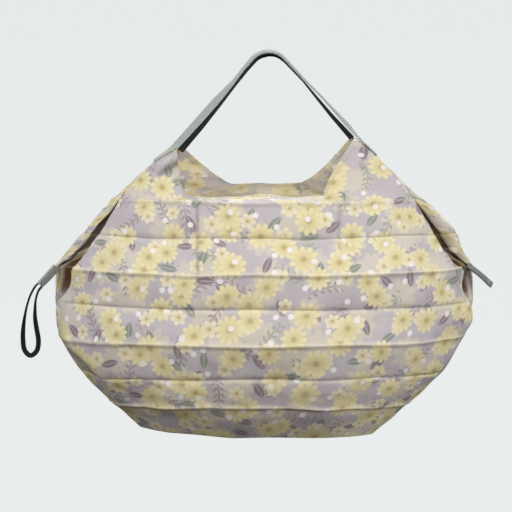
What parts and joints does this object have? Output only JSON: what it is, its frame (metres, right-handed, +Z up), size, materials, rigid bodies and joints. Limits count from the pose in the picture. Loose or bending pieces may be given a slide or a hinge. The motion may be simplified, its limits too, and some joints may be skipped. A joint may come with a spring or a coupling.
{
  "type": "foldable shopping bag",
  "caption": "Soft fold-up shopping bag of pleated floral cloth, filled out and hanging from one webbing handle, with pull tabs at its sides and an elastic loop to hold it rolled.",
  "frame": {"origin": "underside of the handle's lining at the middle of the grip, where a hand or hook holds the bag", "axes": "+X to the right across the bag seen from its front, +Y from the front panel towards the back panel, +Z up"},
  "size_m": [0.5697, 0.232, 0.4526],
  "materials": {
    "printed_cloth": "thin polyester with a yellow, lavender and sage floral print, soft sheen",
    "grey_webbing": "ribbed webbing, sage grey, matt",
    "black_webbing": "woven tape, near black, matt",
    "dark_tab_webbing": "ribbed webbing, dark sage grey, matt",
    "black_elastic": "flat braided elastic, black, matt"
  },
  "bodies": {
    "root": {"front_panel": "printed_cloth", "back_panel": "printed_cloth", "handle_strap": "grey_webbing", "handle_lining": "black_webbing", "left_tab": "grey_webbing", "right_tab": "dark_tab_webbing", "elastic_loop": "black_elastic"}
  },
  "joints": []
}
